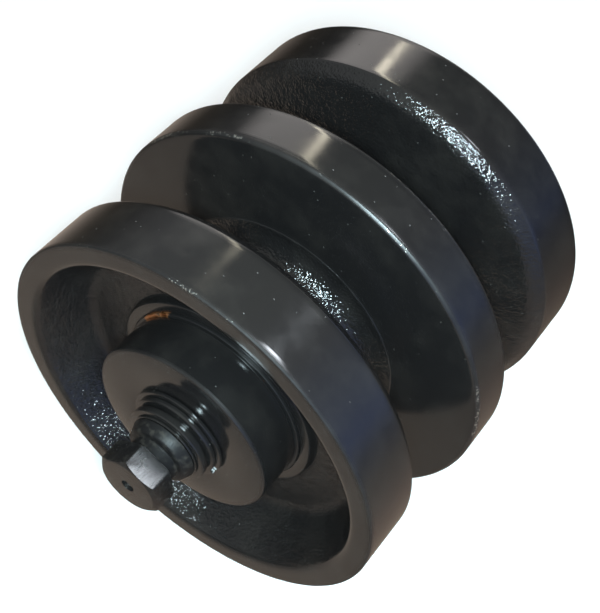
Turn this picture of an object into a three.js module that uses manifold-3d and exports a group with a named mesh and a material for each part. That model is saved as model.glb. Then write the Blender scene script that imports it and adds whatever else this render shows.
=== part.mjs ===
// Crawler track roller: a double-rimmed roller with a middle guide flange, turning on a fixed shaft.
// Millimetres. The shaft lies along Y, +Z is up, and the origin is the middle of the roller.
// "Station" is the distance along the shaft from the middle; both ends are alike, so each profile is
// written once, for the rear end (+Y), and mirrored for the front end (-Y).
import * as THREE from "three";
import { mergeVertices } from "three/addons/utils/BufferGeometryUtils.js";
import Module from "manifold-3d";

const wasm = await Module();
wasm.setup();

// Driving dimensions: the roller shell's running surfaces
const RIM_RADIUS = 132;
const RIM_WIDTH = 41.2;
const GROOVE_WIDTH = 60.7;
const FLANGE_RADIUS = 138.5;
const FLANGE_WIDTH = 33;
const GROOVE_RADIUS = 63;

// Edges and slopes of the shell
const TREAD_BEVEL = 1.6;
const SHOULDER = 8;
const FLANK_SLOPE = 5;
const ROOT_FILLET = 16;
const FLANGE_SLOPE = 3.8;

// The dished end of the shell and its hub
const RIM_WALL = 15;
const LIP_ROUNDING = 4;
const DISH_DEPTH = 36;
const DISH_TAPER = 16;
const HUB_WALL = 6.7;
const HUB_SETBACK = 29;
const HUB_BEVEL = 1.2;

// The shaft
const JOURNAL_RADIUS = 36;
const SHAFT_END_RADIUS = 29;
const SHAFT_PROUD = 9.5;
const SHAFT_BEVEL = 1.5;

// Bushings and the oil space between them
const BUSHING_WALL = 6;
const BUSHING_LENGTH = 46;
const OIL_POCKET = 5.4;

// Floating seals: two lapped metal rings, each on a rubber ring
const SEAL_PLANE_PROUD = 0.1;
const SEAL_BORE_CLEARANCE = 2;
const SEAL_RING_WALL = 3.5;
const SEAL_FACE_WIDTH = 8.5;
const SEAL_HOUSING_ROOM = 12.3;
const SEAL_LENGTH = 10.3;
const SEAL_END_ROOM = 1.8;
const SEAL_FLANGE = 2.8;
const SEAL_RAMP_RISE = 2.5;

// Thrust washer between hub and collar
const THRUST_WIDTH = 12.7;
const THRUST_THICKNESS = 2.3;
const THRUST_SINK = 1;

// End collar, its locking pin and its O-ring
const COLLAR_WALL = 10.9;
const COLLAR_PROUD = 3.4;
const COLLAR_BEVEL = 1.2;
const PIN_RADIUS = 5;
const PIN_BITE = 9;
const PIN_SINK = 1;
const PIN_SETBACK = 8.8;
const O_RING_RADIUS = 1.9;
const O_RING_INSET = 3.8;

// Retaining ring in its groove in the shaft end
const RETAINER_STAND = 3;
const RETAINER_THICKNESS = 2.4;
const RETAINER_BITE = 2;
const RETAINER_GAP = 9;

// Plug stack on the shaft end: stepped washer, sealing washer, hexagon plug, grease nipple
const WASHER_RADIUS = 27;
const WASHER_THICKNESS = 4.4;
const WASHER_SPIGOT_RADIUS = 24;
const WASHER_SPIGOT = 1.8;
const SEALING_RADIUS = 23.4;
const SEALING_THICKNESS = 1.4;
const PLUG_BASE_RADIUS = 22.6;
const PLUG_TIP_RADIUS = 19.6;
const PLUG_CONE = 7.4;
const PLUG_NECK_RADIUS = 15.5;
const PLUG_NECK = 8;
const HEX_ACROSS_FLATS = 38.1;
const HEX_LENGTH = 16.5;
const HEX_CHAMFER = 1.6;
const SHANK_RADIUS = 12;
const SHANK_LENGTH = 34;
const NIPPLE_RADIUS = 4;
const NIPPLE_LENGTH = 7;
const NIPPLE_DOME = 1.2;
const NIPPLE_DIMPLE = 2.4;

// Clearances
const GAP = 0.3;
const SEAL_FACE_GAP = 0.4;

// Number of flats on turned pieces, by size, and of steps in a root fillet
const SHELL_SIDES = 48;
const RING_SIDES = 32;
const SEAL_SIDES = 24;
const SMALL_SIDES = 12;
const RUBBER_SIDES = 6;
const ROOT_STEPS = 3;

// Radii that follow from the dimensions above
const lipRadius = RIM_RADIUS - RIM_WALL;
const dishFloorRadius = lipRadius - DISH_TAPER;
const bushingBore = JOURNAL_RADIUS + GAP;
const bushingOuter = bushingBore + BUSHING_WALL;
const bushingSeat = bushingOuter + GAP;
const sealBore = JOURNAL_RADIUS + SEAL_BORE_CLEARANCE;
const sealRamp = sealBore + SEAL_RING_WALL;
const sealHousing = sealBore + SEAL_HOUSING_ROOM;
const toricRadius = (sealHousing - sealRamp) / 2 - 2 * GAP;
const thrustRadius = sealHousing + THRUST_WIDTH;
const hubRadius = thrustRadius + GAP + HUB_WALL;
const collarRadius = sealHousing + COLLAR_WALL;
const retainerRadius = SHAFT_END_RADIUS + RETAINER_STAND;
const retainerBore = SHAFT_END_RADIUS - RETAINER_BITE;

// Stations that follow from the dimensions above
const sealDepth = SEAL_FACE_GAP / 2 + SEAL_LENGTH + SEAL_END_ROOM;
const halfWidth = FLANGE_WIDTH / 2 + GROOVE_WIDTH + RIM_WIDTH;
const dishFloor = halfWidth - DISH_DEPTH;
const hubFace = halfWidth - HUB_SETBACK;
const thrustSeat = hubFace - THRUST_SINK;
const thrustTop = thrustSeat + GAP + THRUST_THICKNESS;
const sealPlane = hubFace + SEAL_PLANE_PROUD;
const shellSealFloor = sealPlane - sealDepth;
const collarSealFloor = sealPlane + sealDepth;
const collarBack = thrustTop + GAP;
const collarFace = halfWidth + COLLAR_PROUD;
const pinStation = collarFace - PIN_SETBACK;
const oRingStation = collarSealFloor + O_RING_INSET;
const bushingEnd = shellSealFloor - GAP;
const bushingStart = bushingEnd - BUSHING_LENGTH;
const shaftEnd = halfWidth + SHAFT_PROUD;
const journalEnd = collarSealFloor - GAP;
const washerBack = shaftEnd + GAP;
const washerFace = washerBack + WASHER_SPIGOT + WASHER_THICKNESS;
const sealingFace = washerFace + GAP + SEALING_THICKNESS;
const plugBase = sealingFace + GAP;
const plugTip = plugBase + PLUG_CONE;
const hexBack = plugTip + PLUG_NECK;
const hexFace = hexBack + HEX_LENGTH;
const retainerBack = collarFace + GAP;
const retainerFace = retainerBack + RETAINER_THICKNESS;

const blackPaint = () => new THREE.MeshStandardMaterial({ color: 0x17181b, roughness: 0.25, metalness: 0.1 });
const groundSteel = () => new THREE.MeshStandardMaterial({ color: 0x8c8f94, roughness: 0.3, metalness: 1 });
const springSteel = () => new THREE.MeshStandardMaterial({ color: 0x3a3c40, roughness: 0.4, metalness: 1 });
const bronze = () => new THREE.MeshStandardMaterial({ color: 0xa5683a, roughness: 0.35, metalness: 1 });
const sealIron = () => new THREE.MeshStandardMaterial({ color: 0x6d6f73, roughness: 0.2, metalness: 1 });
const rubber = () => new THREE.MeshStandardMaterial({ color: 0x121212, roughness: 0.8, metalness: 0 });

// A closed geometry as a manifold solid, and back
function solidOf(geometry) {
  const bare = geometry.clone();
  bare.deleteAttribute("normal");
  bare.deleteAttribute("uv");
  const merged = mergeVertices(bare, 1e-4);
  const vertProperties = merged.attributes.position.array;
  const triVerts = new Uint32Array(merged.index.array);
  return new wasm.Manifold(new wasm.Mesh({ numProp: 3, vertProperties, triVerts }));
}

function geometryOf(solid) {
  const mesh = solid.getMesh();
  const geometry = new THREE.BufferGeometry();
  geometry.setAttribute("position", new THREE.BufferAttribute(mesh.vertProperties, 3));
  geometry.setIndex(new THREE.BufferAttribute(mesh.triVerts, 1));
  const flat = geometry.toNonIndexed();
  flat.computeVertexNormals();
  return flat;
}

function cut(geometry, tool) {
  return geometryOf(solidOf(geometry).subtract(solidOf(tool)));
}

// Turns a profile of [radius, station] points, anticlockwise when radius is drawn to the right and
// station upwards. The flats lie at the stated radius, so the corners stand just outside it. A
// profile that doesn't start on the axis is closed into a ring.
function turned(profile, sides, end = 1) {
  const toCorner = 1 / Math.cos(Math.PI / sides);
  const points = profile.map(([radius, station]) => new THREE.Vector2(radius * toCorner, end * station));
  if (end < 0) points.reverse();
  if (profile[0][0] > 0) points.push(points[0].clone());
  return new THREE.LatheGeometry(points, sides, Math.PI / sides);
}

// Points of an arc round [radius, station], from one angle to another in degrees, ends included
function arc(radius, station, size, fromDegrees, toDegrees, steps) {
  const points = [];
  for (let i = 0; i <= steps; i += 1) {
    const angle = THREE.MathUtils.degToRad(fromDegrees + ((toDegrees - fromDegrees) * i) / steps);
    points.push([radius + size * Math.cos(angle), station + size * Math.sin(angle)]);
  }
  return points;
}

// Radial rod pointing down (-Z) at a station, between two distances from the shaft's axis
function radialRod(radius, from, to, station) {
  const rod = new THREE.CylinderGeometry(radius, radius, to - from, SMALL_SIDES);
  rod.rotateX(Math.PI / 2);
  rod.translate(0, station, -(from + to) / 2);
  return rod;
}

function named(name, geometry, material) {
  const mesh = new THREE.Mesh(geometry, material);
  mesh.name = name;
  return mesh;
}

// The shell's outside over one half: middle flange, groove, sloped shoulder and rim
function shellOutside() {
  const flangeEdge = FLANGE_WIDTH / 2;
  const flangeRoot = flangeEdge + FLANGE_SLOPE;
  const treadStart = halfWidth - RIM_WIDTH;
  const shoulderFoot = treadStart - SHOULDER;
  const flankFoot = shoulderFoot - FLANK_SLOPE;
  const filletCentre = GROOVE_RADIUS + ROOT_FILLET;
  return [
    [FLANGE_RADIUS, flangeEdge - TREAD_BEVEL],
    [FLANGE_RADIUS - TREAD_BEVEL, flangeEdge],
    ...arc(filletCentre, flangeRoot + ROOT_FILLET, ROOT_FILLET, 270, 180, ROOT_STEPS),
    ...arc(filletCentre, flankFoot - ROOT_FILLET, ROOT_FILLET, 180, 90, ROOT_STEPS),
    [RIM_RADIUS - SHOULDER, shoulderFoot],
    [RIM_RADIUS, treadStart],
    [RIM_RADIUS, halfWidth - TREAD_BEVEL],
    [RIM_RADIUS - TREAD_BEVEL, halfWidth],
  ];
}

// The shell's inside over one half: lip, dished wall and floor, hub, seats and bore
function shellInside() {
  return [
    ...arc(lipRadius, halfWidth - LIP_ROUNDING, LIP_ROUNDING, 90, 165, 2),
    [dishFloorRadius, dishFloor],
    [hubRadius, dishFloor],
    [hubRadius, hubFace - HUB_BEVEL],
    [hubRadius - HUB_BEVEL, hubFace],
    [thrustRadius + GAP, hubFace],
    [thrustRadius + GAP, thrustSeat],
    [sealHousing, thrustSeat],
    [sealHousing, shellSealFloor],
    [bushingSeat, shellSealFloor],
    [bushingSeat, bushingStart - GAP],
    [bushingSeat + OIL_POCKET, bushingStart - GAP],
  ];
}

function rollerShell() {
  const half = [...shellOutside(), ...shellInside()];
  const mirrored = half.map(([radius, station]) => [radius, -station]).reverse();
  return named("roller_shell", turned([...half, ...mirrored], SHELL_SIDES), blackPaint());
}

function shaft() {
  const grooveFloor = retainerBore - GAP;
  const oRingFloor = SHAFT_END_RADIUS - 2 * O_RING_RADIUS;
  const half = [
    [JOURNAL_RADIUS, 0],
    [JOURNAL_RADIUS, journalEnd],
    [SHAFT_END_RADIUS, journalEnd],
    [SHAFT_END_RADIUS, oRingStation - O_RING_RADIUS - GAP],
    [oRingFloor, oRingStation - O_RING_RADIUS - GAP],
    [oRingFloor, oRingStation + O_RING_RADIUS + GAP],
    [SHAFT_END_RADIUS, oRingStation + O_RING_RADIUS + GAP],
    [SHAFT_END_RADIUS, retainerBack - GAP],
    [grooveFloor, retainerBack - GAP],
    [grooveFloor, retainerFace + GAP],
    [SHAFT_END_RADIUS, retainerFace + GAP],
    [SHAFT_END_RADIUS, shaftEnd - SHAFT_BEVEL],
    [SHAFT_END_RADIUS - SHAFT_BEVEL, shaftEnd],
    [SHANK_RADIUS + GAP, shaftEnd],
    [SHANK_RADIUS + GAP, plugBase - SHANK_LENGTH - GAP],
    [0, plugBase - SHANK_LENGTH - GAP],
  ];
  const mirrored = half.slice(1).map(([radius, station]) => [radius, -station]).reverse();
  let geometry = turned([...mirrored, ...half], RING_SIDES);
  for (const end of [-1, 1]) {
    const from = SHAFT_END_RADIUS - PIN_BITE - GAP;
    geometry = cut(geometry, radialRod(PIN_RADIUS + GAP, from, JOURNAL_RADIUS, end * pinStation));
  }
  return named("shaft", geometry, groundSteel());
}

function bushing(where, end) {
  const profile = [
    [bushingBore, bushingStart],
    [bushingOuter, bushingStart],
    [bushingOuter, bushingEnd],
    [bushingBore, bushingEnd],
  ];
  return named(`${where}_bushing`, turned(profile, RING_SIDES, end), bronze());
}

function thrustWasher(where, end) {
  const bottom = thrustSeat + GAP;
  const profile = [
    [sealHousing, bottom],
    [thrustRadius, bottom],
    [thrustRadius, thrustTop],
    [sealHousing, thrustTop],
  ];
  return named(`${where}_thrust_washer`, turned(profile, SHELL_SIDES, end), bronze());
}

// A floating seal's metal ring on its inner (shell) side; the collar's one is its mirror image
function sealRing(name, end, onCollar) {
  const face = SEAL_FACE_GAP / 2;
  const section = [
    [sealBore, face + SEAL_LENGTH],
    [sealRamp, face + SEAL_LENGTH],
    [sealRamp, face + SEAL_FLANGE + SEAL_RAMP_RISE],
    [sealBore + SEAL_FACE_WIDTH, face + SEAL_FLANGE],
    [sealBore + SEAL_FACE_WIDTH, face],
    [sealBore, face],
  ];
  return named(name, turned(fromSealPlane(section, onCollar), SEAL_SIDES, end), sealIron());
}

function toricRing(name, end, onCollar) {
  const radius = (sealRamp + sealHousing) / 2;
  const depth = sealDepth - GAP - toricRadius;
  const section = arc(radius, depth, toricRadius, 360, 360 / RUBBER_SIDES, RUBBER_SIDES - 1);
  return named(name, turned(fromSealPlane(section, onCollar), SEAL_SIDES, end), rubber());
}

// Places a section drawn as depth behind the seal face, on the shell's or the collar's side
function fromSealPlane(section, onCollar) {
  if (!onCollar) return section.map(([radius, depth]) => [radius, sealPlane - depth]);
  return section.map(([radius, depth]) => [radius, sealPlane + depth]).reverse();
}

function collar(where, end) {
  const bore = SHAFT_END_RADIUS + GAP;
  const profile = [
    [collarRadius, collarBack],
    [collarRadius, collarFace - COLLAR_BEVEL],
    [collarRadius - COLLAR_BEVEL, collarFace],
    [bore, collarFace],
    [bore, collarSealFloor],
    [sealHousing, collarSealFloor],
    [sealHousing, collarBack],
  ];
  const hole = radialRod(PIN_RADIUS + GAP, 0, 2 * collarRadius, end * pinStation);
  return named(`${where}_collar`, cut(turned(profile, SHELL_SIDES, end), hole), blackPaint());
}

function collarPin(where, end) {
  const from = SHAFT_END_RADIUS - PIN_BITE;
  const pin = radialRod(PIN_RADIUS, from, collarRadius - PIN_SINK, end * pinStation);
  return named(`${where}_collar_pin`, pin, groundSteel());
}

function oRing(where, end) {
  const radius = SHAFT_END_RADIUS - O_RING_RADIUS + GAP / 2;
  const lastCorner = 360 - 360 / RUBBER_SIDES;
  const profile = arc(radius, oRingStation, O_RING_RADIUS - GAP / 2, 0, lastCorner, RUBBER_SIDES - 1);
  return named(`${where}_o_ring`, turned(profile, RING_SIDES, end), rubber());
}

// External retaining ring, open at the bottom so that it can be sprung into its groove
function retainingRing(where, end) {
  const profile = [
    [retainerBore, retainerBack],
    [retainerRadius, retainerBack],
    [retainerRadius, retainerFace],
    [retainerBore, retainerFace],
  ];
  const opening = new THREE.BoxGeometry(RETAINER_GAP, SHAFT_PROUD * 2, retainerRadius);
  opening.translate(0, end * retainerFace, -retainerRadius);
  return named(`${where}_retaining_ring`, cut(turned(profile, RING_SIDES, end), opening), springSteel());
}

function steppedWasher(where, end) {
  const bore = SHANK_RADIUS + GAP;
  const step = washerBack + WASHER_SPIGOT;
  const profile = [
    [bore, washerBack],
    [WASHER_SPIGOT_RADIUS, washerBack],
    [WASHER_SPIGOT_RADIUS, step],
    [WASHER_RADIUS, step],
    [WASHER_RADIUS, washerFace],
    [bore, washerFace],
  ];
  return named(`${where}_washer`, turned(profile, RING_SIDES, end), blackPaint());
}

function sealingWasher(where, end) {
  const bore = SHANK_RADIUS + GAP;
  const bottom = washerFace + GAP;
  const profile = [
    [bore, bottom],
    [SEALING_RADIUS, bottom],
    [SEALING_RADIUS, sealingFace],
    [bore, sealingFace],
  ];
  return named(`${where}_sealing_washer`, turned(profile, RING_SIDES, end), blackPaint());
}

// Hexagon head with its end corners turned off to a circle inside the flats
function hexHead(end) {
  const cornerRadius = HEX_ACROSS_FLATS / Math.sqrt(3);
  const head = new THREE.CylinderGeometry(cornerRadius, cornerRadius, HEX_LENGTH, 6);
  head.translate(0, end * (hexBack + HEX_LENGTH / 2), 0);
  const envelope = [
    [0, hexBack - GAP],
    [cornerRadius, hexBack - GAP],
    [cornerRadius, hexFace - HEX_CHAMFER],
    [HEX_ACROSS_FLATS / 2 - GAP, hexFace],
    [0, hexFace],
  ];
  return solidOf(head).intersect(solidOf(turned(envelope, RING_SIDES, end)));
}

function lubePlug(where, end) {
  const body = [
    [0, plugBase - SHANK_LENGTH],
    [SHANK_RADIUS, plugBase - SHANK_LENGTH],
    [SHANK_RADIUS, plugBase],
    [PLUG_BASE_RADIUS, plugBase],
    [PLUG_TIP_RADIUS, plugTip],
    [PLUG_NECK_RADIUS, plugTip],
    [PLUG_NECK_RADIUS, hexBack + GAP],
    [0, hexBack + GAP],
  ];
  const well = NIPPLE_LENGTH + NIPPLE_DIMPLE;
  const socket = new THREE.CylinderGeometry(NIPPLE_RADIUS + GAP, NIPPLE_RADIUS + GAP, 2 * well, SMALL_SIDES);
  socket.translate(0, end * hexFace, 0);
  const whole = solidOf(turned(body, RING_SIDES, end)).add(hexHead(end));
  return named(`${where}_lube_plug`, geometryOf(whole.subtract(solidOf(socket))), blackPaint());
}

function greaseNipple(where, end) {
  const bottom = hexFace - NIPPLE_DIMPLE - NIPPLE_LENGTH + GAP;
  const shoulder = hexFace - NIPPLE_DIMPLE;
  const profile = [
    [0, bottom],
    [NIPPLE_RADIUS, bottom],
    [NIPPLE_RADIUS, shoulder],
    [NIPPLE_RADIUS / 2, shoulder + NIPPLE_DOME],
    [0, shoulder + NIPPLE_DOME],
  ];
  return named(`${where}_grease_nipple`, turned(profile, SMALL_SIDES, end), groundSteel());
}

// The pieces fixed to the shaft, which the track frame holds still
function fixedEnd(where, end) {
  const endPieces = [collar, collarPin, oRing, retainingRing];
  const plugPieces = [steppedWasher, sealingWasher, lubePlug, greaseNipple];
  const group = new THREE.Group();
  group.add(...[...endPieces, ...plugPieces].map((piece) => piece(where, end)));
  group.add(sealRing(`${where}_collar_seal_ring`, end, true));
  group.add(toricRing(`${where}_collar_toric_ring`, end, true));
  return group;
}

// The pieces that turn with the shell
function turningEnd(where, end) {
  const group = new THREE.Group();
  group.add(bushing(where, end));
  group.add(thrustWasher(where, end));
  group.add(sealRing(`${where}_shell_seal_ring`, end, false));
  group.add(toricRing(`${where}_shell_toric_ring`, end, false));
  return group;
}

const trackRoller = new THREE.Group();
trackRoller.add(shaft(), rollerShell());
for (const [where, end] of [["front", -1], ["rear", 1]]) {
  trackRoller.add(fixedEnd(where, end), turningEnd(where, end));
}

export default trackRoller;
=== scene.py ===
import math

import bmesh
import bpy
from mathutils import Matrix, Vector, noise


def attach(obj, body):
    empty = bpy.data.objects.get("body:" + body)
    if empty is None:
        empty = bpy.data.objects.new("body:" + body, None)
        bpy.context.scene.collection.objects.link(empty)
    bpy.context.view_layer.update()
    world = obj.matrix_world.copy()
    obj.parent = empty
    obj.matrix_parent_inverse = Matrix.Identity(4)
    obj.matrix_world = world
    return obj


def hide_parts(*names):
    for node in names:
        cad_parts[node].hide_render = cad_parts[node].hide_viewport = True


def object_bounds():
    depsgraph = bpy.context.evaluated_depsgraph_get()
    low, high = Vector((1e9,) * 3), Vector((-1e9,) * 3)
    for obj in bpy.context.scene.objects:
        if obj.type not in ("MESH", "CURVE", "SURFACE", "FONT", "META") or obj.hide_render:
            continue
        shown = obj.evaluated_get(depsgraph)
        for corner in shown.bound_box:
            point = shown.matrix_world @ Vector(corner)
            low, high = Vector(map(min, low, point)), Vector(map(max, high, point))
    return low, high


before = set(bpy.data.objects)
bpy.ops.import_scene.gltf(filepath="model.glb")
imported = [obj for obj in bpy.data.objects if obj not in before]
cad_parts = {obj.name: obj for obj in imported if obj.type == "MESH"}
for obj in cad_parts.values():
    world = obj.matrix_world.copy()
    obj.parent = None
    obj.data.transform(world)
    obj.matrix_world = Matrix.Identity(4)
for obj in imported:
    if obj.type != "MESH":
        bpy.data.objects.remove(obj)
cad_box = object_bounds()

# ---------------------------------------------------------------------------------------------
# Camera: stands above the front right of the roller, on the side of the visible shaft end, and
# looks down on it with a medium telephoto lens.
CAMERA_PLACE = (0.297, -0.414, 0.591)
CAMERA_AZIMUTH = 35.75
CAMERA_ELEVATION = 49.4
LENS = 71.8

around = math.radians(CAMERA_AZIMUTH)
above = math.radians(CAMERA_ELEVATION)
backwards = Vector((
    math.sin(around) * math.cos(above),
    -math.cos(around) * math.cos(above),
    math.sin(above),
))
camera = bpy.data.objects.new("camera", bpy.data.cameras.new("camera"))
camera.data.lens = LENS
camera.data.sensor_width = 36
camera.data.clip_start = 0.05
camera.data.clip_end = 40
camera.location = CAMERA_PLACE
camera.rotation_mode = "QUATERNION"
camera.rotation_quaternion = (-backwards).to_track_quat("-Z", "Y")
bpy.context.scene.collection.objects.link(camera)
bpy.context.scene.camera = camera

# ---------------------------------------------------------------------------------------------
# Shaft: a forged steel bar, turned and ground where it runs in the bushings, with a smaller end
# on each side for the collar. The ends outside the collars are painted with the rest.
MM = 0.001
JOURNAL = 36
SHAFT_END = 29
SHAFT_STEPS = 128
JOURNAL_STOP = 101.5
RETAINER_BACK = 122.1
RETAINER_FACE = 124.5
O_RING_STATION = 105.6
CLEARANCE = 0.3


def linear(colour):
    """An sRGB colour written as #rrggbb, as linear red, green, blue and alpha."""
    channels = [int(colour[i : i + 2], 16) / 255 for i in (1, 3, 5)]
    curve = [c / 12.92 if c <= 0.04045 else ((c + 0.055) / 1.055) ** 2.4 for c in channels]
    return (*curve, 1)


def add(tree, kind, settings=None, inputs=None):
    """Adds a node to a tree with its settings, and sets or links its inputs."""
    node = tree.nodes.new("ShaderNode" + kind)
    for name, value in (settings or {}).items():
        setattr(node, name, value)
    for name, value in (inputs or {}).items():
        if isinstance(value, bpy.types.NodeSocket):
            tree.links.new(value, node.inputs[name])
        else:
            node.inputs[name].default_value = value
    return node


def begin_material(name):
    """An empty node material with its tree, its surface shader and its Object coordinates."""
    material = bpy.data.materials.new(name)
    material.use_nodes = True
    tree = material.node_tree
    tree.nodes.clear()
    shader = add(tree, "BsdfPrincipled")
    add(tree, "OutputMaterial", inputs={"Surface": shader.outputs["BSDF"]})
    place = add(tree, "TexCoord").outputs["Object"]
    return material, tree, shader, place


def mottle(tree, place, per_metre, detail, roughness=0.5):
    """Soft uneven patches, so many to the metre, from 0 to 1."""
    return add(tree, "TexNoise", inputs={
        "Vector": place, "Scale": per_metre, "Detail": detail, "Roughness": roughness,
    }).outputs["Fac"]


def spread(tree, value, limits, new_limits, smooth=False):
    """Stretches a value from its limits to new ones and stops it there."""
    return add(tree, "MapRange", {"interpolation_type": "SMOOTHSTEP" if smooth else "LINEAR"}, {
        "Value": value, "From Min": limits[0], "From Max": limits[1],
        "To Min": new_limits[0], "To Max": new_limits[1],
    }).outputs["Result"]


def blend(tree, share, colour, other):
    """Goes from one colour to another as the share goes from 0 to 1."""
    return add(tree, "Mix", {"data_type": "RGBA"}, {0: share, 6: colour, 7: other}).outputs[2]


def wave_scale(pitch):
    """Scale of a wave texture whose lines are a pitch in mm apart; it has 20 waves in a turn."""
    return 2 * math.pi / (20 * pitch * MM)


def raised(tree, height, pattern, under=None, inwards=False):
    """Relief of a height in mm from a pattern, on top of the relief under it."""
    inputs = {"Strength": 1, "Distance": height * MM, "Height": pattern}
    if under is not None:
        inputs["Normal"] = under
    return add(tree, "Bump", {"invert": inwards}, inputs).outputs["Normal"]


def turned(profile, steps, end=1, spacing=None):
    """A closed shape spun about the shaft from (radius, station, rounding) points in mm."""
    shape = bmesh.new()
    corners = [shape.verts.new((r * MM, end * s * MM, 0)) for r, s, _ in profile]
    closed = profile[0][0] > 0
    following = corners[1:] + corners[:1] if closed else corners[1:]
    for corner, after in zip(corners, following):
        shape.edges.new((corner, after))
    for corner, (_, _, rounding) in zip(corners, profile):
        if rounding:
            bmesh.ops.bevel(
                shape, geom=[corner], offset=rounding * MM, offset_type="OFFSET",
                segments=max(3, round(rounding / 0.8)), profile=0.5,
                affect="VERTICES", material=-1, clamp_overlap=False,
            )
    if spacing:
        for edge in list(shape.edges):
            cuts = int(edge.calc_length() / (spacing * MM))
            if cuts:
                bmesh.ops.subdivide_edges(shape, edges=[edge], cuts=cuts)
    bmesh.ops.spin(
        shape, geom=list(shape.verts) + list(shape.edges), cent=(0, 0, 0), axis=(0, 1, 0),
        angle=2 * math.pi, steps=steps, use_merge=True,
    )
    bmesh.ops.remove_doubles(shape, verts=shape.verts, dist=1e-6)
    bmesh.ops.recalc_face_normals(shape, faces=shape.faces)
    return shape


SHARP_ANGLE = math.radians(28)


def station_of(point):
    """How far a point is from the middle of the roller along the shaft, in mm."""
    return abs(point.y) / MM


def radius_of(point):
    """How far a point is from the shaft's axis, in mm."""
    return math.hypot(point.x, point.z) / MM


def finish_piece(node, body, shape, materials, material_at=None):
    """Makes a shape the piece that stands for a CAD node, riding on that node's body."""
    for face in shape.faces:
        face.smooth = True
        if material_at:
            face.material_index = material_at(face.calc_center_median())
    for edge in shape.edges:
        edge.smooth = edge.calc_face_angle(0) < SHARP_ANGLE
    mesh = bpy.data.meshes.new(node + "_finished")
    shape.to_mesh(mesh)
    shape.free()
    for material in materials:
        mesh.materials.append(material)
    piece = bpy.data.objects.new(node + "_finished", mesh)
    bpy.context.scene.collection.objects.link(piece)
    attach(piece, body)
    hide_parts(node)


def cut_shape(shape, tool, operation="DIFFERENCE"):
    """Cuts one shape with another, or joins or intersects them, and returns the result."""
    objects = []
    for name, part in (("shape", shape), ("tool", tool)):
        mesh = bpy.data.meshes.new(name)
        part.to_mesh(mesh)
        part.free()
        objects.append(bpy.data.objects.new(name, mesh))
        bpy.context.scene.collection.objects.link(objects[-1])
    modifier = objects[0].modifiers.new("cut", "BOOLEAN")
    modifier.operation = operation
    modifier.solver = "EXACT"
    modifier.object = objects[1]
    evaluated = objects[0].evaluated_get(bpy.context.evaluated_depsgraph_get())
    result = bmesh.new()
    result.from_mesh(evaluated.to_mesh())
    evaluated.to_mesh_clear()
    for spent in objects:
        mesh = spent.data
        bpy.data.objects.remove(spent)
        bpy.data.meshes.remove(mesh)
    bmesh.ops.remove_doubles(result, verts=result.verts, dist=1e-6)
    bmesh.ops.dissolve_degenerate(result, edges=result.edges, dist=1e-7)
    bmesh.ops.recalc_face_normals(result, faces=result.faces)
    return result


def rod(radius, start, stop, turn, steps=48):
    """A closed round bar between two heights in mm, placed by a matrix that turns +Z."""
    shape = bmesh.new()
    bmesh.ops.create_cone(
        shape, cap_ends=True, segments=steps, radius1=radius * MM, radius2=radius * MM,
        depth=(stop - start) * MM,
        matrix=turn @ Matrix.Translation((0, 0, (start + stop) / 2 * MM)),
    )
    return shape


# Gloss black enamel sprayed over machined steel: a deep black, mirror-like coat with slight
# orange peel, faint turning marks showing through, fine dust nibs and smudges of thin dust.
ENAMEL_BLACK = "#151414"
ENAMEL_DUSTY = "#23211f"
DUST_GREY = "#8c8b87"
BARE_STEEL = "#aaa69e"
ORANGE_PEEL_SIZE = 4.5
ORANGE_PEEL_HEIGHT = 0.012
TURNING_PITCH = 1.4
TURNING_HEIGHT = 0.005
NIB_SPACING = 8.0
NIB_HEIGHT = 0.12
SMUDGE_SIZE = 28
SMUDGE_LIMITS = (0.35, 0.75)
GLOSSY = (0.09, 0.22)


def enamel_pattern(tree, place, machined):
    """Smudges, colour and relief of the enamel, with turning marks where the steel is machined."""
    smudge = mottle(tree, place, 1 / (SMUDGE_SIZE * MM), 4, 0.6)
    peel = mottle(tree, place, 1 / (ORANGE_PEEL_SIZE * MM), 2)
    nib_distance = add(tree, "TexVoronoi", inputs={
        "Vector": place, "Scale": 1 / (NIB_SPACING * MM),
    }).outputs["Distance"]
    nib = spread(tree, nib_distance, (0.07, 0.03), (0, 1), smooth=True)
    dusty = spread(tree, smudge, (0.45, 0.75), (0, 0.6))
    base = blend(tree, dusty, linear(ENAMEL_BLACK), linear(ENAMEL_DUSTY))
    speck = add(tree, "Math", {"operation": "MULTIPLY"}, {0: nib, 1: 0.25}).outputs[0]
    colour = blend(tree, speck, base, linear(DUST_GREY))
    bump = raised(tree, ORANGE_PEEL_HEIGHT, peel)
    bump = raised(tree, NIB_HEIGHT, nib, bump)
    if machined:
        for kind, way in (("BANDS", "bands_direction"), ("RINGS", "rings_direction")):
            marks = add(tree, "TexWave", {"wave_type": kind, way: "Y"}, {
                "Vector": place, "Scale": wave_scale(TURNING_PITCH), "Distortion": 0,
            }).outputs["Fac"]
            bump = raised(tree, TURNING_HEIGHT, marks, bump)
    return smudge, colour, bump


def enamel_over_turned_steel(name, roughness):
    """Black enamel over turned steel, as rough as the two limits say."""
    material, tree, shader, place = begin_material(name)
    smudge, colour, bump = enamel_pattern(tree, place, machined=True)
    tree.links.new(colour, shader.inputs["Base Color"])
    tree.links.new(spread(tree, smudge, SMUDGE_LIMITS, roughness), shader.inputs["Roughness"])
    tree.links.new(bump, shader.inputs["Normal"])
    shader.inputs["IOR"].default_value = 1.5
    return material


machined_enamel = enamel_over_turned_steel("black_enamel_sprayed_over_turned_steel", GLOSSY)

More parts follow.
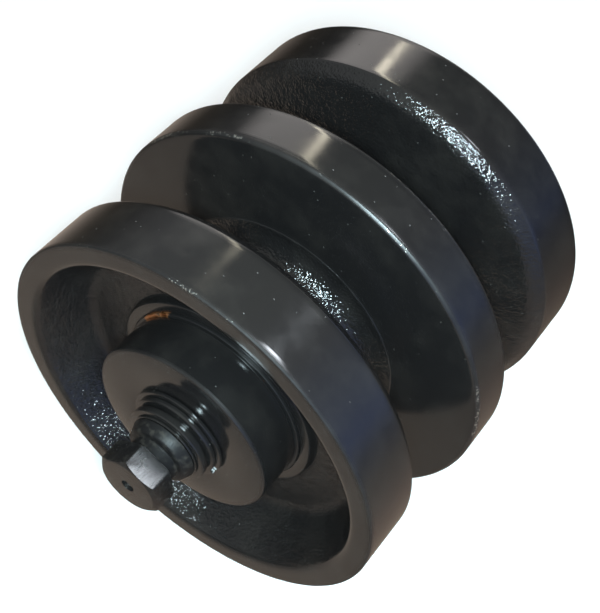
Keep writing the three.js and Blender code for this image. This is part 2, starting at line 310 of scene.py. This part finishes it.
# Carbon steel, ground and lightly oiled: bright grey with fine scratches round the shaft.
ground_steel, tree, shader, place = begin_material("carbon_steel_ground_and_oiled")
GRINDING_LINE = 0.35
GRINDING_DEPTH = 0.004
ALONG_A_LINE = 40
OIL_PER_METRE = 60
lines = add(tree, "Mapping", inputs={"Vector": place, "Scale": (
    ALONG_A_LINE, 1 / (GRINDING_LINE * MM), ALONG_A_LINE,
)})
scratches = mottle(tree, lines.outputs["Vector"], 1, 3)
oil = mottle(tree, place, OIL_PER_METRE, 3)
tree.links.new(blend(tree, oil, linear("#9a9ca0"), linear("#b9bbbe")), shader.inputs["Base Color"])
tree.links.new(spread(tree, scratches, (0, 1), (0.18, 0.36)), shader.inputs["Roughness"])
tree.links.new(raised(tree, GRINDING_DEPTH, scratches), shader.inputs["Normal"])
shader.inputs["Metallic"].default_value = 1

PLUG_HOLE = 12.3
PLUG_HOLE_FLOOR = 102.1
SHAFT_FACE = 127.9
O_RING_GROOVE = 2.2
O_RING_GROOVE_DEPTH = 3.8
RETAINER_GROOVE_DEPTH = 2.3
half_shaft = [
    (JOURNAL, JOURNAL_STOP, 0.6),
    (SHAFT_END, JOURNAL_STOP, 0),
    (SHAFT_END, O_RING_STATION - O_RING_GROOVE, 0.3),
    (SHAFT_END - O_RING_GROOVE_DEPTH, O_RING_STATION - O_RING_GROOVE, 0),
    (SHAFT_END - O_RING_GROOVE_DEPTH, O_RING_STATION + O_RING_GROOVE, 0),
    (SHAFT_END, O_RING_STATION + O_RING_GROOVE, 0.3),
    (SHAFT_END, RETAINER_BACK - CLEARANCE, 0),
    (SHAFT_END - RETAINER_GROOVE_DEPTH, RETAINER_BACK - CLEARANCE, 0),
    (SHAFT_END - RETAINER_GROOVE_DEPTH, RETAINER_FACE + CLEARANCE, 0),
    (SHAFT_END, RETAINER_FACE + CLEARANCE, 0.2),
    (SHAFT_END, SHAFT_FACE, 1.5),
    (PLUG_HOLE, SHAFT_FACE, 0.5),
    (PLUG_HOLE, PLUG_HOLE_FLOOR, 0),
    (0, PLUG_HOLE_FLOOR, 0),
]
shaft_profile = half_shaft + [(r, -s, rounding) for r, s, rounding in reversed(half_shaft)]
shaft_shape = turned(shaft_profile[::-1], SHAFT_STEPS)
PIN_STATION = 113
PIN_RADIUS = 5
PIN_BITE = 9
ENDS = (("front", -1), ("rear", 1))


def down_at_pin(end):
    """Turns +Z down at the place of an end's collar pin."""
    return Matrix.Translation((0, end * PIN_STATION * MM, 0)) @ Matrix.Rotation(math.pi, 4, "X")


for _, end in ENDS:
    floor_of_hole = SHAFT_END - PIN_BITE - CLEARANCE
    hole = rod(PIN_RADIUS + CLEARANCE, floor_of_hole, JOURNAL, down_at_pin(end))
    shaft_shape = cut_shape(shaft_shape, hole)
finish_piece(
    "shaft", "axle", shaft_shape, [ground_steel, machined_enamel],
    lambda point: int(station_of(point) > RETAINER_BACK),
)

# ---------------------------------------------------------------------------------------------
# Bushings: two cast bearing bronze sleeves, turned and bored, pressed into the shell from its
# ends. The shaft's journal runs in them in oil.
BUSHING_BORE = 36.3
BUSHING_OUTER = 42.3
BUSHING_STOPS = (30.9, 76.9)
RING_STEPS = 128

# Bearing bronze, turned: warm copper-brown metal with fine tool marks and darker stains.
bronze, tree, shader, place = begin_material("bearing_bronze_turned")
TOOL_MARK = 0.8
TOOL_MARK_DEPTH = 0.01
STAINS_PER_METRE = 90
marks = add(tree, "TexWave", {"wave_type": "BANDS", "bands_direction": "Y"}, {
    "Vector": place, "Scale": wave_scale(TOOL_MARK), "Distortion": 0.4,
}).outputs["Fac"]
stain = mottle(tree, place, STAINS_PER_METRE, 5)
tree.links.new(blend(tree, stain, linear("#b4693c"), linear("#d9965f")), shader.inputs["Base Color"])
tree.links.new(spread(tree, stain, (0, 1), (0.22, 0.45)), shader.inputs["Roughness"])
tree.links.new(raised(tree, TOOL_MARK_DEPTH, marks), shader.inputs["Normal"])
shader.inputs["Metallic"].default_value = 1

for where, end in ENDS:
    start, stop = BUSHING_STOPS
    profile = [
        (BUSHING_BORE, start, 0.8),
        (BUSHING_OUTER, start, 1.2),
        (BUSHING_OUTER, stop, 1.2),
        (BUSHING_BORE, stop, 0.8),
    ]
    finish_piece(f"{where}_bushing", "roller", turned(profile, RING_STEPS, end), [bronze])

# ---------------------------------------------------------------------------------------------
# Roller shell: one steel forging with two rims, a middle guide flange, deep grooves between them
# and a dish at each end round the hub. Treads, faces, flange and hub are turned; the rest is raw.
FLANGE_RADIUS = 138.5
RIM_RADIUS = 132
HALF_WIDTH = 118.4
FLANGE_EDGE = 15.6
SHELL_STEPS = 256
SHELL_SPACING = 3.2
CAST_BUMP = 0.35
CAST_BUMP_SIZE = 9
half_shell = [
    (FLANGE_RADIUS, 14.6, 0.8),
    (136.6, 16.6, 0.8),
    (81, 20.0, 0.4),
    (80.4, 20.9, 0.3),
    (63, 20.3, 15.5),
    (63, 64.2, 16),
    (125.8, 69.3, 4),
    (RIM_RADIUS, 77.2, 0.8),
    (RIM_RADIUS, HALF_WIDTH, 1.6),
    (116.6, HALF_WIDTH, 3.6),
    (101, 82.4, 5),
    (70, 82.4, 2.5),
    (70, 89.4, 1.2),
    (63.3, 89.4, 0.4),
    (63.3, 88.4, 0),
    (50.3, 88.4, 0.4),
    (50.3, 77.2, 0.5),
    (42.6, 77.2, 0.4),
    (42.6, 30.6, 0),
    (48, 30.6, 0),
]


def is_cast(radius, station):
    """Whether the shell is raw forging there, and not turned."""
    in_groove = 20.6 < station < 76.6 and 60 < radius < 131.5
    on_flange_face = station < 22 and radius > 80.5
    in_dish = 81 < station < 116.5 and 70.5 < radius < 116.4
    return (in_groove and not on_flange_face) or in_dish


# Black enamel over the blasted forging: the same gloss on a grainy skin, which breaks the light
# into many small glints.
cast_enamel, tree, shader, place = begin_material("black_enamel_sprayed_over_blasted_forging")
GRIT_SIZE = 1.5
GRIT_HEIGHT = 0.62
LUMP_SIZE = 5
LUMP_HEIGHT = 0.6
CAST_GLOSS = (0.1, 0.18)
smudge, colour, bump = enamel_pattern(tree, place, machined=False)
for size, height in ((LUMP_SIZE, LUMP_HEIGHT), (GRIT_SIZE, GRIT_HEIGHT)):
    grain = mottle(tree, place, 1 / (size * MM), 1, 0.6)
    bump = raised(tree, height, grain, bump)
tree.links.new(colour, shader.inputs["Base Color"])
tree.links.new(spread(tree, smudge, SMUDGE_LIMITS, CAST_GLOSS), shader.inputs["Roughness"])
tree.links.new(bump, shader.inputs["Normal"])
shader.inputs["IOR"].default_value = 1.5

# The shell's turned enamel has chips down to the steel along the rims' and the flange's edges.
edge_enamel, tree, shader, place = begin_material("black_enamel_with_chipped_edges")
CHIP_SIZE = 1.6
CHIPPED_STRETCHES_PER_METRE = 22
CHIP_REACH = 3.2
CHIP_DEPTH = 0.08
CHIPS_AT_EDGE = 0.3
DRY_AT_EDGE = 0.24
CHIP_ROUGHNESS = 0.38
smudge, colour, bump = enamel_pattern(tree, place, machined=True)
axes = add(tree, "SeparateXYZ", inputs={"Vector": place})
flat = add(tree, "CombineXYZ", inputs={"X": axes.outputs["X"], "Y": 0, "Z": axes.outputs["Z"]})
radius = add(tree, "VectorMath", {"operation": "LENGTH"}, {0: flat.outputs["Vector"]})
station = add(tree, "Math", {"operation": "ABSOLUTE"}, {0: axes.outputs["Y"]})
here = add(tree, "CombineXYZ", inputs={
    "X": radius.outputs["Value"], "Y": station.outputs[0], "Z": 0,
}).outputs["Vector"]
nearest = None
for edge_radius, edge_station in ((RIM_RADIUS, HALF_WIDTH), (FLANGE_RADIUS, FLANGE_EDGE)):
    away = add(tree, "VectorMath", {"operation": "DISTANCE"}, {
        0: here, 1: (edge_radius * MM, edge_station * MM, 0),
    }).outputs["Value"]
    if nearest is not None:
        away = add(tree, "Math", {"operation": "MINIMUM"}, {0: nearest, 1: away}).outputs[0]
    nearest = away
near = spread(tree, nearest, (0.6 * MM, CHIP_REACH * MM), (CHIPS_AT_EDGE, 0))
chip_noise = mottle(tree, place, 1 / (CHIP_SIZE * MM), 3, 0.6)
patches = mottle(tree, place, CHIPPED_STRETCHES_PER_METRE, 1)
patchy = spread(tree, patches, (0.46, 0.64), (0, 1))
close = add(tree, "Math", {"operation": "MULTIPLY"}, {0: near, 1: patchy}).outputs[0]
level = add(tree, "Math", {"operation": "ADD"}, {0: chip_noise, 1: close}).outputs[0]
chip = spread(tree, level, (0.8, 0.86), (0, 1), smooth=True)
tree.links.new(blend(tree, chip, colour, linear(BARE_STEEL)), shader.inputs["Base Color"])
tree.links.new(chip, shader.inputs["Metallic"])
gloss = spread(tree, smudge, SMUDGE_LIMITS, GLOSSY)
dry = spread(tree, nearest, (0.8 * MM, CHIP_REACH * MM), (DRY_AT_EDGE, 0))
gloss = add(tree, "Math", {"operation": "ADD"}, {0: gloss, 1: dry}).outputs[0]
rough = add(tree, "Mix", inputs={0: chip, 2: gloss, 3: CHIP_ROUGHNESS}).outputs[0]
tree.links.new(rough, shader.inputs["Roughness"])
tree.links.new(raised(tree, CHIP_DEPTH, chip, bump, inwards=True), shader.inputs["Normal"])
shader.inputs["IOR"].default_value = 1.5

mirrored_shell = [(r, -s, rounding) for r, s, rounding in reversed(half_shell)]
shell_shape = turned(half_shell + mirrored_shell, SHELL_STEPS, spacing=SHELL_SPACING)
shell_shape.normal_update()
shifts = []
for vertex in shell_shape.verts:
    middles = [face.calc_center_median() for face in vertex.link_faces]
    if all(is_cast(radius_of(middle), station_of(middle)) for middle in middles):
        swell = noise.noise(vertex.co / (CAST_BUMP_SIZE * MM))
        ripple = noise.noise(vertex.co / (0.5 * CAST_BUMP_SIZE * MM))
        bumpiness = swell + 0.5 * ripple
        shifts.append((vertex, vertex.normal * (bumpiness * 0.5 - 0.4) * CAST_BUMP * MM))
for vertex, shift in shifts:
    vertex.co += shift
finish_piece(
    "roller_shell", "roller", shell_shape, [edge_enamel, cast_enamel],
    lambda point: int(is_cast(radius_of(point), station_of(point))),
)

# ---------------------------------------------------------------------------------------------
# Thrust washers: bronze rings let into the hub's faces, that bear against the collars' backs.
# Black overspray covers most of the edge that shows, and the bronze glints through it.
THRUST_BORE = 50.3
THRUST_OUTER = 63
THRUST_STOPS = (88.7, 91.0)
SPRAY_PER_METRE = 45
SPRAY_THICKNESS = 0.03
sprayed_bronze, tree, shader, place = begin_material("bearing_bronze_oversprayed_black")
cover = mottle(tree, place, SPRAY_PER_METRE, 4)
across = add(tree, "SeparateXYZ", inputs={"Vector": place}).outputs["X"]
missed = spread(tree, across, (0.01, -0.015), (0, 0.14), smooth=True)
thin_cover = add(tree, "Math", {"operation": "ADD"}, {0: cover, 1: missed}).outputs[0]
bare = spread(tree, thin_cover, (0.6, 0.68), (0, 1), smooth=True)
tree.links.new(blend(tree, bare, linear(ENAMEL_BLACK), linear("#b5764a")), shader.inputs["Base Color"])
tree.links.new(bare, shader.inputs["Metallic"])
tree.links.new(spread(tree, cover, (0, 1), (0.2, 0.5)), shader.inputs["Roughness"])
tree.links.new(raised(tree, SPRAY_THICKNESS, cover), shader.inputs["Normal"])

for where, end in ENDS:
    back, face = THRUST_STOPS
    profile = [
        (THRUST_BORE, back, 0.2),
        (THRUST_OUTER, back, 0.2),
        (THRUST_OUTER, face, 0.5),
        (THRUST_BORE, face, 0.3),
    ]
    washer = turned(profile, RING_STEPS, end)
    finish_piece(f"{where}_thrust_washer", "roller", washer, [sprayed_bronze])

# ---------------------------------------------------------------------------------------------
# Floating seals: at each end two cast iron rings, lapped where they meet, one in the shell and
# one in the collar, each pressed forward by a rubber ring.
SEAL_BORE = 38
SEAL_RAMP = 41.5
SEAL_FACE_RADIUS = 46.5
SEAL_PLANE = 89.5
SEAL_FACE_GAP = 0.4
SEAL_LENGTH = 10.3
TORIC_MIDDLE = 45.9
TORIC_RADIUS = 3.8
TORIC_DEPTH = 8.2

# White cast iron, lapped: pale grey metal with the fine grain of a smooth casting.
SKIN_PER_METRE = 900
SKIN_RELIEF = 0.03
seal_iron, tree, shader, place = begin_material("white_iron_cast_and_lapped")
skin = mottle(tree, place, SKIN_PER_METRE, 4)
tree.links.new(blend(tree, skin, linear("#6a6c70"), linear("#8b8d90")), shader.inputs["Base Color"])
tree.links.new(spread(tree, skin, (0, 1), (0.2, 0.4)), shader.inputs["Roughness"])
tree.links.new(raised(tree, SKIN_RELIEF, skin), shader.inputs["Normal"])
shader.inputs["Metallic"].default_value = 1

# Nitrile rubber, moulded: matt near-black with a faint grey bloom.
BLOOM_PER_METRE = 400
BLOOM_RELIEF = 0.02
rubber, tree, shader, place = begin_material("nitrile_rubber_moulded")
bloom = mottle(tree, place, BLOOM_PER_METRE, 4)
tree.links.new(blend(tree, bloom, linear("#121212"), linear("#1d1d1c")), shader.inputs["Base Color"])
tree.links.new(spread(tree, bloom, (0, 1), (0.55, 0.8)), shader.inputs["Roughness"])
tree.links.new(raised(tree, BLOOM_RELIEF, bloom), shader.inputs["Normal"])


def rubber_ring(middle, station, radius, end):
    """A rubber ring of round section, spun from a circle."""
    square = [(-1, -1), (1, -1), (1, 1), (-1, 1)]
    profile = [(middle + a * radius, station + b * radius, radius * 0.98) for a, b in square]
    return turned(profile, RING_STEPS, end)


for where, end in ENDS:
    for side, name, body in ((-1, "shell", "roller"), (1, "collar", "axle")):
        near_face = SEAL_PLANE + side * SEAL_FACE_GAP / 2
        profile = [
            (SEAL_BORE, near_face, 0.4),
            (SEAL_FACE_RADIUS, near_face, 0.5),
            (SEAL_FACE_RADIUS, near_face + side * 2.8, 0.6),
            (SEAL_RAMP, near_face + side * 5.3, 1.2),
            (SEAL_RAMP, near_face + side * SEAL_LENGTH, 0.8),
            (SEAL_BORE, near_face + side * SEAL_LENGTH, 0.5),
        ]
        ring = turned(profile, RING_STEPS, end)
        finish_piece(f"{where}_{name}_seal_ring", body, ring, [seal_iron])
        toric = rubber_ring(TORIC_MIDDLE, SEAL_PLANE + side * TORIC_DEPTH, TORIC_RADIUS, end)
        finish_piece(f"{where}_{name}_toric_ring", body, toric, [rubber])

# ---------------------------------------------------------------------------------------------
# O-rings: rubber rings in the grooves of the shaft's ends, that seal the collars' bores.
O_RING_MIDDLE = 27.25
O_RING_RADIUS = 1.75
for where, end in ENDS:
    ring = rubber_ring(O_RING_MIDDLE, O_RING_STATION, O_RING_RADIUS, end)
    finish_piece(f"{where}_o_ring", "axle", ring, [rubber])

# ---------------------------------------------------------------------------------------------
# End collars: turned steel rings on the shaft's ends, painted, each held by a pin driven in from
# below. They cover the seals, and the track frame takes hold of them.
COLLAR_RADIUS = 61.2
COLLAR_BACK = 91.3
COLLAR_FACE = 121.8
COLLAR_BORE = 29.3
COLLAR_SEAL_FLOOR = 101.8
COLLAR_SEAL_BORE = 50.3
COLLAR_ROUNDING = 2.2
COLLAR_STEPS = 192

# Black enamel dried thin on the collar's edge: duller than the faces, so light spreads along it.
thin_enamel = enamel_over_turned_steel("black_enamel_dried_thin_on_an_edge", (0.26, 0.36))


def on_collar_rounding(point):
    """1 on the rounding of the collar's outer front edge, 0 elsewhere."""
    outside = radius_of(point) > COLLAR_RADIUS - COLLAR_ROUNDING
    return int(outside and station_of(point) > COLLAR_FACE - COLLAR_ROUNDING)


for where, end in ENDS:
    profile = [
        (COLLAR_RADIUS, COLLAR_BACK, 0.6),
        (COLLAR_RADIUS, COLLAR_FACE, COLLAR_ROUNDING),
        (COLLAR_BORE, COLLAR_FACE, 0.4),
        (COLLAR_BORE, COLLAR_SEAL_FLOOR, 0.3),
        (COLLAR_SEAL_BORE, COLLAR_SEAL_FLOOR, 0.6),
        (COLLAR_SEAL_BORE, COLLAR_BACK, 0.3),
    ]
    hole = rod(PIN_RADIUS + CLEARANCE, 0, 2 * COLLAR_RADIUS, down_at_pin(end))
    collar = cut_shape(turned(profile, COLLAR_STEPS, end), hole)
    finish_piece(
        f"{where}_collar", "axle", collar, [machined_enamel, thin_enamel],
        on_collar_rounding,
    )

# ---------------------------------------------------------------------------------------------
# Collar pins: ground dowels with rounded edges, from the collar's outside into the shaft.
PIN_INNER = 20
PIN_OUTER = 60.2
PIN_ROUNDING = 0.7
for where, end in ENDS:
    pin = rod(PIN_RADIUS, PIN_INNER, PIN_OUTER, down_at_pin(end))
    rims = [e for e in pin.edges if e.calc_face_angle(0) > math.radians(60)]
    bmesh.ops.bevel(
        pin, geom=rims, offset=PIN_ROUNDING * MM, offset_type="OFFSET", segments=3, profile=0.5,
        affect="EDGES", material=-1,
    )
    finish_piece(f"{where}_collar_pin", "axle", pin, [ground_steel])

# ---------------------------------------------------------------------------------------------
# Retaining rings: spring steel rings, painted, sprung into grooves of the shaft's ends to hold
# the collars. Each has an opening, turned from the bottom to low on the right of the front end.
RETAINER_BORE = 27
RETAINER_OUTER = 32
RETAINER_OPENING = 9
CUT_DEPTH = 20
OPENING_TURN = -60
for where, end in ENDS:
    profile = [
        (RETAINER_BORE, RETAINER_BACK, 0.2),
        (RETAINER_OUTER, RETAINER_BACK, 0.4),
        (RETAINER_OUTER, RETAINER_FACE, 0.7),
        (RETAINER_BORE, RETAINER_FACE, 0.3),
    ]
    turn = Matrix.Rotation(math.radians(OPENING_TURN), 4, "Y")
    below = Matrix.Translation((0, end * RETAINER_FACE * MM, -RETAINER_OUTER * MM))
    size = Matrix.Diagonal((RETAINER_OPENING * MM, CUT_DEPTH * MM, RETAINER_OUTER * MM, 1))
    opening = bmesh.new()
    bmesh.ops.create_cube(opening, size=1, matrix=turn @ below @ size)
    ring = cut_shape(turned(profile, RING_STEPS, end), opening)
    finish_piece(f"{where}_retaining_ring", "axle", ring, [machined_enamel])

# ---------------------------------------------------------------------------------------------
# Washers: a stepped steel washer and a thin sealing washer under the plug, painted with it.
WASHER_BORE = 12.3
for where, end in ENDS:
    stepped = [
        (WASHER_BORE, 128.2, 0.2),
        (24, 128.2, 0.2),
        (24, 130.0, 0.2),
        (27, 130.0, 0.5),
        (27, 134.4, 1.0),
        (WASHER_BORE, 134.4, 0.3),
    ]
    finish_piece(
        f"{where}_washer", "axle", turned(stepped, RING_STEPS, end),
        [machined_enamel],
    )
    thin = [
        (WASHER_BORE, 134.7, 0.1),
        (23.4, 134.7, 0.3),
        (23.4, 136.1, 0.5),
        (WASHER_BORE, 136.1, 0.1),
    ]
    finish_piece(
        f"{where}_sealing_washer", "axle", turned(thin, RING_STEPS, end),
        [machined_enamel],
    )

# ---------------------------------------------------------------------------------------------
# Lube plugs: forged steel screws with a coned collar, a neck and a hexagon, that close the oil
# hole in the shaft. Painted, with dust on the cone.
HEX_FLATS = 38.1
HEX_BACK = 151.8
HEX_FACE = 168.3
NIPPLE_WELL = 4.3
NIPPLE_WELL_FLOOR = 158.9
hex_corner = HEX_FLATS / math.sqrt(3)

# The hexagon's paint is rubbed by the wrench: satin instead of gloss, with fine scratches across
# the flats. Behind it the cone and the neck are dulled by a film of dust, which takes the shine.
SCRATCH_LENGTH = 6.0
SCRATCH_WIDTH = 0.9
SCRATCH_DEPTH = 0.05
DUST_PER_METRE = 260


def worn_enamel(name, dust_colour, roughness):
    """Black enamel with scratches and dust, as rough as the limits say, and its shader."""
    material, tree, shader, place = begin_material(name)
    stretched = add(tree, "Mapping", inputs={"Vector": place, "Scale": (
        1 / (SCRATCH_WIDTH * MM), 1 / (SCRATCH_LENGTH * MM), 1 / (SCRATCH_WIDTH * MM),
    )})
    scratches = mottle(tree, stretched.outputs["Vector"], 1, 3)
    dust = mottle(tree, place, DUST_PER_METRE, 4)
    dusty = spread(tree, dust, (0.5, 0.75), (0, 0.7))
    colour = blend(tree, dusty, linear(ENAMEL_BLACK), linear(dust_colour))
    tree.links.new(colour, shader.inputs["Base Color"])
    tree.links.new(spread(tree, scratches, (0, 1), roughness), shader.inputs["Roughness"])
    tree.links.new(raised(tree, SCRATCH_DEPTH, scratches), shader.inputs["Normal"])
    return material, shader


rubbed_enamel, shader = worn_enamel("black_enamel_rubbed_by_wrench", "#2c2a27", (0.16, 0.32))
shader.inputs["IOR"].default_value = 1.5
dusty_enamel, shader = worn_enamel("black_enamel_dulled_by_dust", "#393631", (0.36, 0.56))
shader.inputs["Specular IOR Level"].default_value = 0.16

for where, end in ENDS:
    body = [
        (0, 102.4, 0),
        (12, 102.4, 1),
        (12, 136.4, 0.4),
        (22.6, 136.4, 0.6),
        (19.6, 143.8, 1.4),
        (15.5, 143.8, 1.2),
        (15.5, HEX_BACK + 0.6, 0),
        (0, HEX_BACK + 0.6, 0),
    ]
    envelope = [
        (0, HEX_BACK - 1, 0),
        (hex_corner - 1.5, HEX_BACK - 1, 0),
        (hex_corner + 0.4, HEX_BACK + 1.6, 0),
        (hex_corner + 0.4, HEX_FACE - 2.0, 0),
        (HEX_FLATS / 2 - 0.5, HEX_FACE, 0.3),
        (0, HEX_FACE, 0),
    ]
    outwards = Matrix.Rotation(-end * math.pi / 2, 4, "X")
    head = bmesh.new()
    bmesh.ops.create_cone(
        head, cap_ends=True, segments=6, radius1=hex_corner * MM, radius2=hex_corner * MM,
        depth=(HEX_FACE - HEX_BACK) * MM,
        matrix=outwards @ Matrix.Translation((0, 0, (HEX_FACE + HEX_BACK) / 2 * MM)),
    )
    bmesh.ops.bevel(
        head, geom=[e for e in head.edges if abs(e.verts[0].co.y - e.verts[1].co.y) > 0.01],
        offset=0.5 * MM, offset_type="OFFSET", segments=3, profile=0.5, affect="EDGES", material=-1,
    )
    head = cut_shape(head, turned(envelope, RING_STEPS, end), "INTERSECT")
    plug = cut_shape(turned(body, RING_STEPS, end), head, "UNION")
    plug = cut_shape(plug, rod(NIPPLE_WELL, NIPPLE_WELL_FLOOR, HEX_FACE + 5, outwards))
    finish_piece(
        f"{where}_lube_plug", "axle", plug, [dusty_enamel, rubbed_enamel],
        lambda point: int(station_of(point) > HEX_BACK - 0.5),
    )

# ---------------------------------------------------------------------------------------------
# Grease nipples: small steel nipples with a domed head, sunk in the hexagons' ends.
NIPPLE_STEPS = 64
for where, end in ENDS:
    nipple = [
        (0, 159.2, 0),
        (4, 159.2, 0.2),
        (4, 165.9, 0.6),
        (3.1, 165.9, 0.2),
        (2.6, 167.0, 0.8),
        (0, 167.1, 0),
    ]
    finish_piece(
        f"{where}_grease_nipple", "axle", turned(nipple, NIPPLE_STEPS, end),
        [machined_enamel],
    )

# ---------------------------------------------------------------------------------------------
# Floor: a plain pale studio floor that the flange stands on.
FLOOR_SIZE = 12
floor_mesh = bpy.data.meshes.new("floor")
plane = bmesh.new()
bmesh.ops.create_grid(plane, x_segments=1, y_segments=1, size=FLOOR_SIZE / 2)
plane.to_mesh(floor_mesh)
plane.free()
floor = bpy.data.objects.new("floor", floor_mesh)
floor.location.z = cad_box[0].z
bpy.context.scene.collection.objects.link(floor)
floor.visible_glossy = False
# Matt paint: an even pale grey with hardly visible clouds.
floor_paint, tree, shader, place = begin_material("studio_floor_matte_painted")
cloudy = mottle(tree, place, 3, 2)
tree.links.new(blend(tree, cloudy, linear("#f1f0ee"), linear("#f5f4f3")), shader.inputs["Base Color"])
shader.inputs["Roughness"].default_value = 0.9
floor_mesh.materials.append(floor_paint)


# ---------------------------------------------------------------------------------------------
# Lights: a broad soft light from above, a small bluish-white softbox close to the camera that
# gives the glints, and a pale tube high behind the left side that gives the streaks on the treads.
def area_light(name, place, towards, size, power, colour, glossy=True):
    """A rectangular light that the camera doesn't see; glossy says whether the paint mirrors it."""
    data = bpy.data.lights.new(name, "AREA")
    data.shape = "RECTANGLE"
    data.size, data.size_y = size
    data.energy = power
    data.color = linear(colour)[:3]
    light = bpy.data.objects.new(name, data)
    light.location = place
    light.rotation_mode = "QUATERNION"
    light.rotation_quaternion = (Vector(towards) - Vector(place)).to_track_quat("-Z", "Y")
    light.visible_camera = False
    light.visible_glossy = glossy
    bpy.context.scene.collection.objects.link(light)
    return light


area_light("soft_top", (0.2, -0.2, 3.0), (0, 0, 0), (4, 4), 14, "#ffffff", glossy=False)
area_light("softbox", (0.335, -0.44, 0.60), (0, 0, 0), (0.14, 0.10), 16.0, "#d8f3fb")
TUBE_WIDTH = 0.11
TUBE_DISTANCE = 2.5
tube_start = Vector((-0.215, 0.49, 0.845)) * TUBE_DISTANCE
tube_stop = Vector((-0.43, 0.70, 0.57)) * TUBE_DISTANCE
middle = (tube_start + tube_stop) / 2
tube_size = ((tube_stop - tube_start).length, TUBE_WIDTH)
tube = area_light("tube", middle, (0, 0, 0), tube_size, 3.4, "#fff6dc")
along = (tube_stop - tube_start).normalized()
facing = -middle.normalized()
side = along.cross(facing).normalized()
tube.rotation_quaternion = Matrix((along, side, -facing)).transposed().to_quaternion()

# ---------------------------------------------------------------------------------------------
# Surroundings: a room that the black paint mirrors, brown below, bluish at the right and dark to
# the left, with a small lamp high on the right and a pale wall behind the left. The camera sees
# it plain and pale. The ring gives its colour by the angle about the shaft, from +Z towards +X.
ROOM_RING = [
    (-180, (0.30, 0.24, 0.19)),
    (-150, (0.52, 0.43, 0.35)),
    (-120, (0.40, 0.33, 0.28)),
    (-100, (0.10, 0.08, 0.06)),
    (-82, (0.07, 0.06, 0.05)),
    (-50, (0.45, 0.44, 0.44)),
    (-25, (0.50, 0.50, 0.48)),
    (10, (0.55, 0.55, 0.50)),
    (45, (0.46, 0.44, 0.46)),
    (78, (0.44, 0.53, 0.84)),
    (95, (0.27, 0.37, 0.84)),
    (108, (0.20, 0.20, 0.28)),
    (124, (0.38, 0.32, 0.27)),
    (155, (0.42, 0.32, 0.26)),
    (180, (0.30, 0.24, 0.19)),
]
TOWARDS_LAMP = (0.512, 0.36, 0.779)
LAMP_TINT = (0.94, 1.0, 1.08)
LAMP_STRENGTH = 42
TOWARDS_WALL = (-0.5, 0.7, 0.51)
WALL_TINT = (1.0, 0.94, 0.91)
WALL_STRENGTH = 2
world = bpy.data.worlds.new("room")
bpy.context.scene.world = world
world.use_nodes = True
tree = world.node_tree
tree.nodes.clear()
direction = add(tree, "TexCoord").outputs["Generated"]
axes = add(tree, "SeparateXYZ", inputs={"Vector": direction})
about_shaft = add(tree, "CombineXYZ", inputs={
    "X": axes.outputs["Z"], "Y": axes.outputs["X"], "Z": 0,
}).outputs["Vector"]
angle = add(tree, "TexGradient", {"gradient_type": "RADIAL"}, {"Vector": about_shaft})
ring = add(tree, "ValToRGB", inputs={"Fac": angle.outputs["Fac"]})
stops = ring.color_ramp.elements
while len(stops) < len(ROOM_RING):
    stops.new(0.5)
for stop, (degrees, _) in zip(stops, ROOM_RING):
    stop.position = degrees / 360 + 0.5
for stop, (_, colour) in zip(stops, ROOM_RING):
    stop.color = (*colour, 1)
fade = spread(tree, axes.outputs["Y"], (0.5, 0.72), (1, 0.22))
rear_wall = spread(tree, axes.outputs["Y"], (0.8, 0.95), (0, 0.78))
fade = add(tree, "Math", {"operation": "ADD"}, {0: fade, 1: rear_wall}).outputs[0]
room = add(tree, "VectorMath", {"operation": "SCALE"}, {0: ring.outputs["Color"], "Scale": fade})


def spot(towards, edge, strength):
    """A soft-edged round spot of light in one direction of the room."""
    nearness = add(tree, "VectorMath", {"operation": "DOT_PRODUCT"}, {0: direction, 1: towards})
    return spread(tree, nearness.outputs["Value"], edge, (0, strength), smooth=True)


lamp = spot(TOWARDS_LAMP, (0.994, 0.998), LAMP_STRENGTH)
bright = add(tree, "VectorMath", {"operation": "SCALE"}, {0: LAMP_TINT, "Scale": lamp})
wall = spot(TOWARDS_WALL, (0.93, 0.99), WALL_STRENGTH)
above_edge = spread(tree, axes.outputs["Y"], (0.53, 0.6), (0, 1), smooth=True)
wall = add(tree, "Math", {"operation": "MULTIPLY"}, {0: wall, 1: above_edge}).outputs[0]
warm = add(tree, "VectorMath", {"operation": "SCALE"}, {0: WALL_TINT, "Scale": wall})
spots = add(tree, "VectorMath", {"operation": "ADD"}, {0: warm.outputs[0], 1: bright.outputs[0]})
seen = add(tree, "VectorMath", {"operation": "ADD"}, {0: room.outputs[0], 1: spots.outputs[0]})
is_camera = add(tree, "LightPath").outputs["Is Camera Ray"]
mixed = blend(tree, is_camera, seen.outputs[0], linear("#f2f2f2"))
background = add(tree, "Background", inputs={"Color": mixed, "Strength": 1})
add(tree, "OutputWorld", inputs={"Surface": background.outputs["Background"]})

bpy.context.scene.view_settings.view_transform = "Standard"
